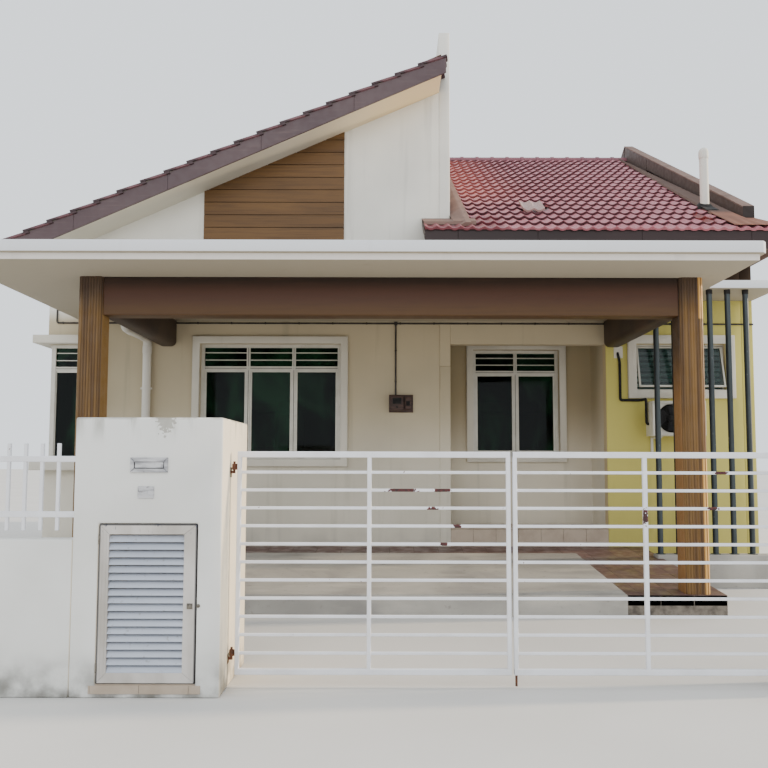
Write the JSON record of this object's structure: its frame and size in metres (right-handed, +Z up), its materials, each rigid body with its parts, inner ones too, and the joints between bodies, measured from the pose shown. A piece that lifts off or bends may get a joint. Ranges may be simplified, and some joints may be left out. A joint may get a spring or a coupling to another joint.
{
  "type": "bungalow",
  "caption": "Single-storey end-of-row house with a monopitch wing, a low gable wing, a flat-roofed carport on columns, and a front pier with swinging gates.",
  "frame": {"origin": "where the front wall's centre line meets the spine wall's centre line, on the lowest ground", "axes": "+X to the right seen from the street, +Y from the street into the house, +Z up"},
  "size_m": [9.8373, 15.1478, 7.57],
  "materials": {
    "wall_paint": "matte rendered wall paint",
    "white_paint": "matte exterior paint",
    "yellow_paint": "matte rendered wall paint",
    "trim_paint": "smooth painted plaster band",
    "floor_screed": "trowelled screed",
    "floor_tile": "matte quarry tile",
    "step_tile": "satin tile",
    "roof_tile": "satin coated interlocking tile",
    "dark_roof_tile": "satin coated interlocking tile",
    "plum_board": "satin paint on board",
    "soffit_board": "painted flat board",
    "parapet_sheet": "coated sheet cladding",
    "siding_wood": "stained boards",
    "column_paint": "brown textured coating",
    "beam_paint": "brown textured coating",
    "concrete": "bare weathered concrete",
    "window_alu": "powder-coated",
    "window_glass": "green-tinted float glass",
    "pipe_plastic": "painted pipe",
    "pole_paint": "satin slate-grey paint",
    "unit_shell": "satin painted sheet",
    "black_foam": "pipe insulation",
    "board_brown": "varnished board",
    "conduit_dark": "smooth",
    "louvre_alu": "satin anodised",
    "plate_steel": "brushed",
    "gate_paint": "chipped white paint",
    "rusty_steel": "rusted",
    "door_wood": "varnished"
  },
  "bodies": {
    "house": {"front_wall": "wall_paint", "left_wall": "wall_paint", "back_wall": "wall_paint", "party_wall": "white_paint", "fin_wall": "white_paint", "fin_piers": "wall_paint", "recess_walls": "wall_paint", "recess_lintel": "wall_paint", "yellow_wall": "yellow_paint", "floor_slab": "floor_screed", "entrance_platform": "step_tile", "porch_apron": "floor_tile", "carport_floor": "concrete", "high_roof": "dark_roof_tile", "high_fascia": "plum_board", "low_roof_front": "roof_tile", "low_roof_back": "roof_tile", "low_fascias": "plum_board", "eave_soffits": "soffit_board", "roof_parapet": "parapet_sheet", "vent_pipe": "pipe_plastic", "siding_panel": "siding_wood", "porch_slab": "white_paint", "porch_beam": "beam_paint", "side_beams": "beam_paint", "column_left": "column_paint", "column_right": "column_paint", "downpipe": "pipe_plastic", "front_window_frame": "window_alu", "entrance_window_frame": "window_alu", "corner_window_frame": "window_alu", "hopper_window_frame": "window_alu", "rear_window_frames": "window_alu", "front_glass": "window_glass", "rear_glass": "window_glass", "front_surrounds": "trim_paint", "corner_surround": "trim_paint", "rear_surrounds": "trim_paint", "outer_doors": "door_wood", "screen_poles": "pole_paint", "screen_ledge": "white_paint", "screen_kerb": "concrete", "ac_unit": "unit_shell", "ac_pipe": "black_foam", "meter_board": "board_brown", "conduit": "conduit_dark", "gate_pier": "white_paint", "letter_plate": "plate_steel", "low_wall": "white_paint", "picket_fence": "gate_paint", "gate_hooks": "rusty_steel", "gate_post": "white_paint"},
    "bin_door": {"bin_door": "louvre_alu"},
    "gate_leaf_left": {"gate_leaf_left": "gate_paint"},
    "gate_leaf_right": {"gate_leaf_right": "gate_paint"}
  },
  "joints": [
    {"name": "gate_left_swing", "type": "hinge", "parent": "house", "child": "gate_leaf_left", "pos_m": [-1.758, -4.775, 0.8], "axis": [0, 0, 1], "range_deg": [0, 90]},
    {"name": "gate_right_swing", "type": "hinge", "parent": "house", "child": "gate_leaf_right", "pos_m": [1.946, -4.775, 0.8], "axis": [0, 0, -1], "range_deg": [0, 90]},
    {"name": "bin_door_swing", "type": "hinge", "parent": "house", "child": "bin_door", "pos_m": [-2.556, -5.025, 0.6], "axis": [0, 0, -1], "range_deg": [0, 95]}
  ]
}
